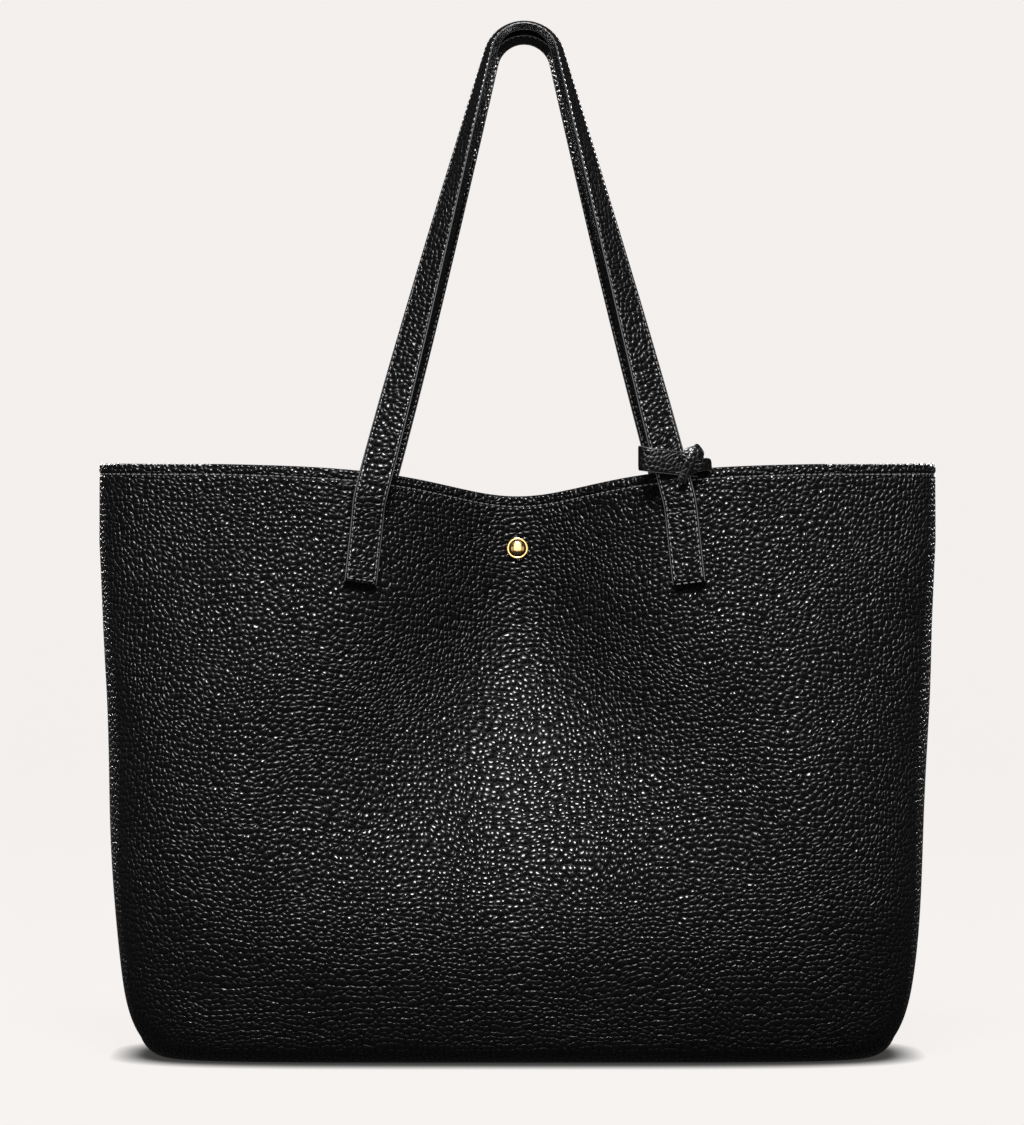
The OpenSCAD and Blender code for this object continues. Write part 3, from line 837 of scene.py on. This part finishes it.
def plated(name, tint, rough):
    """Polished plating: fine random scuffs lift the roughness in patches."""
    finish, tree, shader = new_finish(name)
    shader.inputs["Metallic"].default_value = 1
    scuff = add_node(tree, "ShaderNodeTexNoise", (-700, 0))
    scuff.inputs["Scale"].default_value = 700
    scuff.inputs["Detail"].default_value = 5
    tree.links.new(material_coords(tree, False), scuff.inputs["Vector"])
    two_tones(tree, shader, scuff.outputs["Fac"], [0.86 * c for c in tint], tint)
    gloss = add_node(tree, "ShaderNodeMapRange", (-400, -100))
    gloss.inputs["From Min"].default_value = 0.35
    gloss.inputs["From Max"].default_value = 0.75
    gloss.inputs["To Min"].default_value = rough
    gloss.inputs["To Max"].default_value = rough + 0.12
    tree.links.new(scuff.outputs["Fac"], gloss.inputs["Value"])
    tree.links.new(gloss.outputs[0], shader.inputs["Roughness"])
    return finish


caps = bpy.data.collections.new("caps")
scene.collection.children.link(caps)
cap_centre = (0, 0, snap_z)
cream, warm = (1, 0.95, 0.86), (1, 0.93, 0.8)
# Panels that shine on the caps alone give the gold something to mirror.
for panel in (soft_box("cap_panel", (0, -1.2, 1.0), cap_centre, 1.3, 1.0, 10, cream),
              soft_box("cap_left", (-1.3, -0.8, 0.2), cap_centre, 0.9, 0.9, 2.6, warm),
              soft_box("cap_right", (1.3, -0.8, 0.2), cap_centre, 0.9, 0.9, 2.6, warm),
              soft_box("cap_front", (0, -2.8, 0.3), cap_centre, 3.0, 1.6, 38, cream),
              soft_box("cap_behind", (0, 1.2, 1.0), cap_centre, 1.3, 1.0, 10, cream)):
    panel.light_linking.receiver_collection = caps
gold = plated("gold plating", (0.93, 0.63, 0.27), 0.16)
steel = plated("steel plating", (0.55, 0.55, 0.57), 0.25)
cap_points, cap_quads = turned(*cap_profile(), 48)
cap_points = cap_points + np.array([0, -cap_seat, snap_z])
for name, node, flip, body in (("gold_cap", "snap_cap", 1, "front_wall"),
                               ("gold_back_cap", "snap_back_cap", -1, "bag_body")):
    cap = mesh_piece(name, cap_points * (1, flip, 1), cap_quads, finish=gold, sharp=50)
    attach(cap, body)
    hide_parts(node)
    caps.objects.link(cap)
    cap.visible_glossy = False
paint_node("snap_socket", steel)
paint_node("snap_stud", steel)


# ---------------------------------------------------------------------------------------------
# Straps: two leather plies glued round a core, stitched along both edges, with painted cut edges.
# Each strap is one loop, whose two ends are sewn flat on the wall with a box of stitches.
# ---------------------------------------------------------------------------------------------
strap_w = 17.4 * MM
strap_t = 4.1 * MM
strap_shift = 3.5 * MM
leg_spread = 81.7 * MM
strap_rise = 254 * MM
top_bend = 18 * MM
end_top = body_h - 24 * MM
end_h = 39 * MM
end_splay = 4 * MM
foot_y = -49.34 * MM
top_y = -strap_w / 2 - 0.6 * MM
foot_turn = np.radians(-12.5)
top_turn = np.radians(80)
wall_gap = 0.3 * MM
seam_in = 1.5 * MM
strap_pitch = 3 * MM
bend_z = end_top + strap_rise - top_bend
foot_to_bend = np.hypot(leg_spread, bend_z - end_top)
leg_angle = np.arctan2(leg_spread, bend_z - end_top) - np.arcsin(top_bend / foot_to_bend)
bend_l = top_bend * (np.pi / 2 - leg_angle)
strap_half = np.sqrt(foot_to_bend ** 2 - top_bend ** 2) + bend_l


def unit_rows(v):
    """Each row of an array scaled to length one."""
    return v / np.linalg.norm(v, axis=-1, keepdims=True)


def free_line(d):
    """Middle line of the free strap at distances d from its top: two straight legs on an arc, which
    lean from the feet, in front of the wall, to the top over the bag's middle."""
    s = np.abs(d)
    a = np.minimum(s, bend_l) / top_bend
    leg = np.maximum(s - bend_l, 0)
    x = np.sign(d) * (top_bend * np.sin(a) + leg * np.sin(leg_angle))
    z = bend_z + top_bend * np.cos(a) - leg * np.cos(leg_angle)
    rise = np.clip((z - end_top) / strap_rise, 0, 1)
    return np.stack([strap_shift + x, foot_y + (top_y - foot_y) * rise, z], -1), rise


def wall_face(x, z):
    """Point of the front wall's outer face and its outward normal, by differences."""
    h = 0.5 * MM
    slope_x = (wall_depth(x + h, z) - wall_depth(x - h, z)) / (2 * h)
    slope_z = (wall_depth(x, z + h) - wall_depth(x, z - h)) / (2 * h)
    outward = unit_rows(np.stack([-slope_x, -1 + 0 * x, -slope_z], -1))
    return np.stack([x, -wall_depth(x, z), z], -1), outward


def strap_frames(d):
    """Centre, width direction and outward direction along the whole strap. On the free part the
    strap turns edge-on from its feet to its top; past the feet it lies on the wall. Both runs are
    averaged over a few millimetres where they meet."""
    centre, rise = free_line(d)
    along = unit_rows(np.gradient(centre, axis=0))
    inward = unit_rows(np.stack([along[:, 2], 0 * d, -along[:, 0]], -1))
    back = np.cross(along, inward)
    turn = (foot_turn + (top_turn - foot_turn) * rise ** 0.75)[:, None]
    out = -np.cos(turn) * back - np.sin(turn) * inward
    past = np.maximum(np.abs(d) - strap_half, 0) / end_h
    x = strap_shift + np.sign(d) * (leg_spread + end_splay * past)
    on_wall, face = wall_face(x, end_top - end_h * past)
    sewn = (past > 0)[:, None]
    centre = np.where(sewn, on_wall + face * (wall_gap + strap_t / 2), centre)
    out = np.where(sewn, face, out)
    reach = np.arange(-4, 5)
    weight = np.exp(-(reach / 2.2) ** 2)
    weight /= weight.sum()
    near = (np.abs(np.abs(d) - strap_half) < 14 * MM)[:, None]
    for _ in range(2):
        index = np.clip(np.arange(len(d))[:, None] + reach, 0, len(d) - 1)
        centre = np.where(near, np.einsum("nka,k->na", centre[index], weight), centre)
        out = np.where(near, np.einsum("nka,k->na", out[index], weight), out)
    along = unit_rows(np.gradient(centre, axis=0))
    wide = unit_rows(np.cross(along, out))
    return centre, wide, np.cross(wide, along)


def strap_profile():
    """Cross-section of the strap: faces that swell a little in the middle and dip at the two seams,
    with rounded, painted edges. Returns width and height places and the edge-paint mask, whose
    values near 1 at the corners also give a painted highlight line."""
    a, b, r = strap_w / 2, strap_t / 2, 0.8 * MM
    u = (a - r) * np.sin(np.linspace(np.pi / 2, -np.pi / 2, 31))
    dip = 0.3 * MM * np.exp(-((a - np.abs(u) - seam_in) / (0.5 * MM)) ** 2)
    h = b * (0.93 + 0.07 * (1 - (u / a) ** 2)) - dip
    corner = np.linspace(0, np.pi / 2, 5)[1:]
    edge_u = -(a - r) - r * np.sin(corner)
    edge_h = h[-1] - r + r * np.cos(corner)
    top_u = np.concatenate([-edge_u[::-1], u, edge_u])
    top_h = np.concatenate([edge_h[::-1], h, edge_h])
    band = 0.75 * blend_in((np.abs(u) - (a - 1.5 * MM)) / (0.5 * MM))
    # Corner values above 0.86 give the painted highlight line; the lower ones are edge paint alone.
    corners = np.array([1, 0.96, 0.85, 0.8])
    paint = np.concatenate([corners[::-1], band, corners])
    return (np.concatenate([top_u, top_u[::-1]]), np.concatenate([top_h, -top_h[::-1]]),
            np.concatenate([paint, paint]))


def swept(centre, wide, out, u, h):
    """Rows of a profile carried along frames: centre + u times width + h times outward, pinched at
    both ends. Returns a closed solid's vertices, quads and uv in metres."""
    gap = np.concatenate([[0], np.cumsum(np.linalg.norm(np.diff(centre, axis=0), axis=-1))])
    end = np.minimum(gap, gap[-1] - gap)[:, None]
    pinch = 1 - 0.4 * np.exp(-end / (0.35 * MM))
    rows = centre[:, None] + wide[:, None] * u[:, None] + (out[:, None] * h[:, None]) * pinch[..., None]
    girth = np.concatenate([[0], np.cumsum(np.hypot(np.diff(u), np.diff(h)))])
    uv = np.stack(np.broadcast_arrays(girth, gap[:, None]), -1).reshape(-1, 2)
    return rows.reshape(-1, 3), tube_quads(*rows.shape[:2]), uv


strap_leather = pebbled_leather("strap leather", 350, 0.9 * MM, paint=True)
strap_reach = strap_half + end_h
strap_d = np.linspace(-strap_reach, strap_reach, int(2 * strap_reach / (1.6 * MM)))
centre, wide, out = strap_frames(strap_d)
profile_u, profile_h, profile_paint_and_highlight = strap_profile()
strap_solid = swept(centre, wide, out, profile_u, profile_h)

# Seams: along both edges on both faces, and across the sewn ends at their top and bottom.
seam_u = strap_w / 2 - seam_in
seam_h = strap_t / 2 * 0.95 - 0.22 * MM
seam_rods = []
inner = slice(*np.searchsorted(strap_d, (-strap_half + 4 * MM, strap_half - 4 * MM)))
whole = slice(*np.searchsorted(strap_d, (-strap_reach + seam_in, strap_reach - seam_in)))
for u, side, run in ((seam_u, 1, whole), (-seam_u, 1, whole), (seam_u, -1, inner), (-seam_u, -1, inner)):
    line = centre + u * wide + side * seam_h * out
    at, along = even_path(np.concatenate([line, side * out], -1)[run], strap_pitch)
    seam_rods.append(stitch_rods(at[:, :3], along, at[:, 3:], 0.76 * strap_pitch, thread_r))
for end in (-1, 1):
    for place in (strap_half + 1 * MM, strap_reach - seam_in):
        k = np.searchsorted(strap_d, end * place)
        across = np.linspace(-seam_u, seam_u, 5)[:, None]
        line = centre[k] + across * wide[k] + (strap_t / 2 - 0.05 * MM) * out[k]
        at, along = even_path(np.concatenate([line, 0 * line + out[k]], -1), strap_pitch)
        seam_rods.append(stitch_rods(at[:, :3], along, at[:, 3:], 0.76 * strap_pitch, thread_r))
seam_points, seam_quads, seam_uv = joined(seam_rods)


def edge_mask(piece, paint):
    """Gives every ring of a piece the same share of edge paint, and of painted highlight where the mask is
    near 1, at the points of its profile.
    """
    mask = piece.data.attributes.new("edge_paint_and_highlight", "FLOAT", "POINT")
    mask.data.foreach_set("value", np.resize(paint, len(piece.data.vertices)).astype(np.float32))


def hung(points, flip, lift):
    """A strap on its side of the bag: mirrored for the back one, and drawn up or down toward its top."""
    rise = blend_in((points[:, 2:] - end_top) / strap_rise)
    return points * (1, flip, 1) + rise * lift * np.array([0, 0, 1])


for name, flip, lift, wall_body in (("front_strap", 1, 1.8 * MM, "front_wall"),
                                    ("back_strap", -1, -2.2 * MM, "bag_body")):
    strap = mesh_piece(f"{name}_leather", hung(strap_solid[0], flip, lift), *strap_solid[1:],
                       strap_leather)
    edge_mask(strap, profile_paint_and_highlight)
    rods = mesh_piece(f"{name}_stitches", hung(seam_points, flip, lift), seam_quads, seam_uv, thread)
    for piece in (strap, rods):
        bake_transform(piece)
    if wall_body == "front_wall":
        key_lit(strap)
    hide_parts(*(f"{name}_{part}" for part in ("outer", "core", "inner", "left_end", "right_end")))
patch_leather = pebbled_leather("patch leather", 350, 0.9 * MM, from_uv=False)
for node in ("front_left_patch", "front_right_patch", "back_left_patch", "back_right_patch"):
    paint_node(node, patch_leather)


# ---------------------------------------------------------------------------------------------
# Tie: a strip of the same leather, wound once round the right leg of the front strap and knotted
# on the outer side, with one short tail across the band. It can slide along the leg.
# ---------------------------------------------------------------------------------------------
tie_low, tie_high = (Vector(corner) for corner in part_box("tie_band"))
tie_sag = 3.7 * MM
tie_mid = np.array((tie_low + tie_high) / 2) - (0, 0, tie_sag)
tie_turn = np.radians(10.4)
tie_lean = np.radians(8.96)
strip_t = 1.5 * MM
strip_cols = 15
ex = np.array([np.cos(tie_turn), np.sin(tie_turn) * np.cos(tie_lean),
               -np.sin(tie_turn) * np.sin(tie_lean)])
ez = np.array([0, np.sin(tie_lean), np.cos(tie_lean)])
tie_axes = np.stack([ex, -np.cross(ez, ex), ez])


def smooth_path(points, count):
    """Points along a Catmull-Rom curve through the given ones, whose end steps are repeated."""
    p = np.asarray(points, float)
    p = np.concatenate([2 * p[:1] - p[1:2], p, 2 * p[-1:] - p[-2:-1]])
    t = np.linspace(0, len(p) - 3, count)
    k = np.minimum(t.astype(int), len(p) - 4)
    f = (t - k)[:, None]
    a, b, c, d = p[k], p[k + 1], p[k + 2], p[k + 3]
    square, cube = 2 * a - 5 * b + 4 * c - d, 3 * b - a - 3 * c + d
    return 0.5 * (2 * b + (c - a) * f + square * f ** 2 + cube * f ** 3)


def strip_profile(width):
    """Cross-section of the strip: flat with swollen faces and round edges."""
    a, b = width / 2, strip_t / 2
    t = np.linspace(0, np.pi, strip_cols)
    u, h = a * np.cos(t), b * np.sin(t) ** 0.5
    return np.concatenate([u, u[::-1]]), np.concatenate([h, -h[::-1]])


def strip(points, facing, width, count=60):
    """A strip through points in the tie's own axes (right, out, up, in millimetres): its width lies
    across its direction and the way it faces."""
    line = smooth_path(points, count) * MM
    faces = smooth_path(facing, count)
    line, faces = line @ tie_axes + tie_mid, faces @ tie_axes
    along = unit_rows(np.gradient(line, axis=0))
    wide = unit_rows(np.cross(along, faces))
    return swept(line, wide, np.cross(wide, along), *strip_profile(width * MM))


def band_solid():
    """The loop round the leg: a superellipse in plan, lower in front and at its right, whose strip
    stands upright. The profile's rows close on themselves."""
    t = np.linspace(0, 2 * np.pi, 96, endpoint=False)
    x = 0.5 + 15.2 * np.sign(np.cos(t)) * np.abs(np.cos(t)) ** 0.55
    y = 4.9 * np.sign(np.sin(t)) * np.abs(np.sin(t)) ** 0.75
    z = -0.4 - 0.077 * x - 0.28 * (y - 4.9)
    line = np.stack([x, y, z], -1) * MM @ tie_axes + tie_mid
    along = unit_rows(np.roll(line, -1, 0) - np.roll(line, 1, 0))
    out = unit_rows(np.cross(along, ez + 0 * along))
    up = np.cross(out, along)
    u, h = strip_profile(12.6 * MM)
    rows = line[:, None] + up[:, None] * u[:, None] + out[:, None] * h[:, None]
    n, m = rows.shape[:2]
    index = np.arange(n * m).reshape(n, m)
    a, b = np.roll(index, -1, 1), np.roll(index, -1, 0)
    quads = np.stack([index, a, np.roll(b, -1, 1), b], -1).reshape(-1, 4)
    run = np.concatenate([[0], np.cumsum(np.linalg.norm(np.diff(line, axis=0), axis=-1))])
    girth = np.concatenate([[0], np.cumsum(np.hypot(np.diff(u), np.diff(h)))])
    return rows.reshape(-1, 3), quads, np.stack(np.broadcast_arrays(girth, run[:, None]), -1).reshape(-1, 2)


tie_leather = pebbled_leather("tie leather", 400, 0.32 * MM, paint=True)
# Each strip's points and the way it faces at each of them, in the tie's own axes, and its width.
tie_parts = {
    "tie_band_strip": ("tie_band", band_solid()),
    "tie_tail_strip": ("tie_tail", strip(
        [(17, -2, 2), (17.4, 2, 6.3), (15, 6.2, 7.6), (12, 7.9, 3), (9, 8.2, -2.5), (5.4, 7.4, -11.5)],
        [(1, -0.4, 0.2), (0.8, 0.1, 0.7), (0.2, 1, 0.5), (0, 1, 0.1), (0, 1, 0), (0, 1, 0)], 4.6)),
    "tie_fold_strip": ("tie_knot", strip(
        [(7, 6.2, 0), (11, 7, 3.6), (15, 6.4, 4.4), (17.8, 3.2, 2.6), (17, 0.5, -0.5)],
        [(0, 1, 0.2), (0.1, 1, 0.3), (0.5, 0.9, 0.3), (1, 0.3, 0.2), (1, -0.3, 0)], 8.4)),
    "tie_knot_strip": ("tie_knot", strip(
        [(10, 5.8, -3.5), (15.5, 6.8, -1.8), (20.3, 5, -0.8), (22.2, 2.4, -1.8), (20, 0.4, -3.4),
         (14.5, 0.6, -4)],
        [(0, 1, 0), (0.2, 1, 0), (0.7, 0.7, 0), (1, 0, 0), (0.6, -0.8, 0), (0, -1, 0)], 6.4)),
}
# The strips' edge paint mask: at the very rims it is 1, which also gives a painted highlight line there.
rim = np.abs(np.cos(np.linspace(0, np.pi, strip_cols)))
paint = np.where(rim > 0.95, 1, 0.6 * blend_in((rim - 0.7) / 0.25))
for name, (node, solid) in tie_parts.items():
    piece = mesh_piece(name, *solid, finish=tie_leather)
    edge_mask(piece, np.tile(paint, 2))
    key_lit(piece)
    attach(piece, "strap_tie")
    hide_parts(node)
